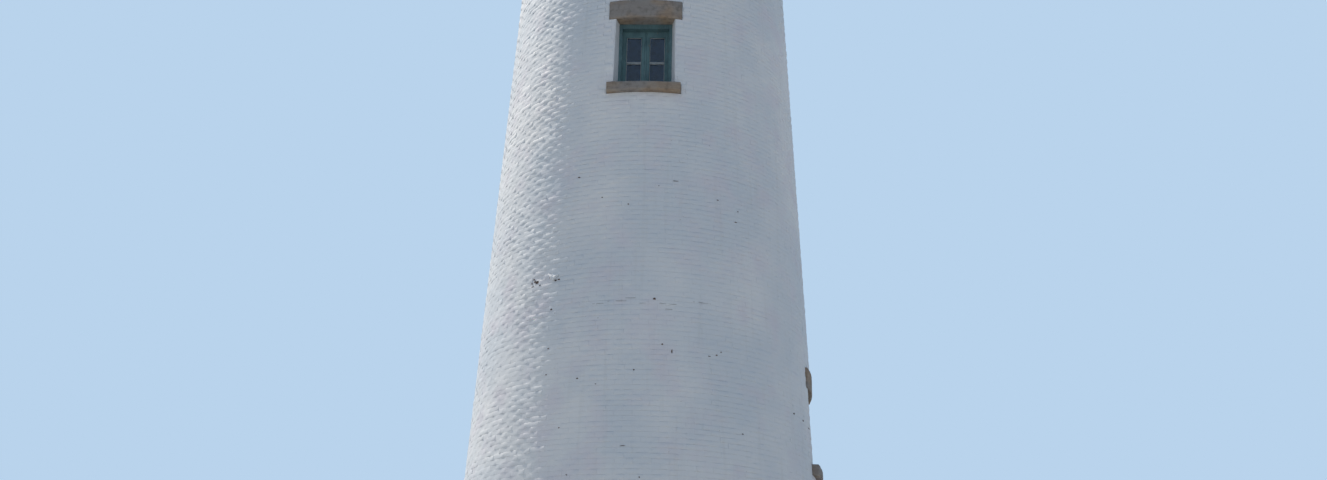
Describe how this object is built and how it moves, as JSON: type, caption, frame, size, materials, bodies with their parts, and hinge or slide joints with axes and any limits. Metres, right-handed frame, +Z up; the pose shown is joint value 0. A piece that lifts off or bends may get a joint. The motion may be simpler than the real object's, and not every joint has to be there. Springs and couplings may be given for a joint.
{
  "type": "lighthouse",
  "caption": "Tapering round brick lighthouse with stone-dressed casement windows, an iron gallery on openwork brackets and a glazed many-sided lantern.",
  "frame": {"origin": "on the tower's axis at ground level", "axes": "+Z up; -Y is the side of the upper window (front), +X the side of the lower window (turned 5 degrees towards the front), +Y the side of the entry door"},
  "size_m": [5.696, 5.6958, 20.7862],
  "materials": {
    "whitewashed_brick": "matt white paint on rough brick",
    "cut_limestone": "tooled, weathered",
    "brown_sandstone": "sawn, weathered",
    "painted_joinery": "old grey-green oil paint",
    "window_glass": "clear, slightly wavy",
    "lantern_glass": "clear plate",
    "black_iron": "black oil paint, some rust",
    "red_roof_iron": "red oxide paint"
  },
  "bodies": {
    "root": {"foundation_plinth": "cut_limestone", "ground_floor": "cut_limestone", "door_threshold": "cut_limestone", "door_lintel": "brown_sandstone", "door_frame": "painted_joinery", "door_leaf": "painted_joinery", "wall_lower_front": "whitewashed_brick", "wall_lower_right": "whitewashed_brick", "wall_lower_back": "whitewashed_brick", "wall_lower_left": "whitewashed_brick", "wall_middle_front": "whitewashed_brick", "wall_middle_right": "whitewashed_brick", "wall_middle_back": "whitewashed_brick", "wall_middle_left": "whitewashed_brick", "wall_upper_front": "whitewashed_brick", "wall_upper_right": "whitewashed_brick", "wall_upper_back": "whitewashed_brick", "wall_upper_left": "whitewashed_brick", "front_window_lintel": "brown_sandstone", "front_window_sill": "brown_sandstone", "front_window_frame": "painted_joinery", "front_window_casements": "painted_joinery", "right_window_lintel": "brown_sandstone", "right_window_sill": "brown_sandstone", "right_window_frame": "painted_joinery", "right_window_casements": "painted_joinery", "back_window_lintel": "brown_sandstone", "back_window_sill": "brown_sandstone", "back_window_frame": "painted_joinery", "back_window_casements": "painted_joinery", "window_glass": "window_glass", "brick_frieze": "whitewashed_brick", "gallery_deck": "black_iron", "gallery_brackets": "black_iron", "railing_posts": "black_iron", "railing_rails": "black_iron", "lantern_floor": "black_iron", "lantern_mullions": "black_iron", "lantern_wall_panels": "black_iron", "gallery_door": "black_iron", "lantern_sill": "black_iron", "lantern_glass": "lantern_glass", "lantern_cornice": "black_iron", "lantern_roof": "red_roof_iron", "roof_ventilator": "red_roof_iron"}
  },
  "joints": []
}
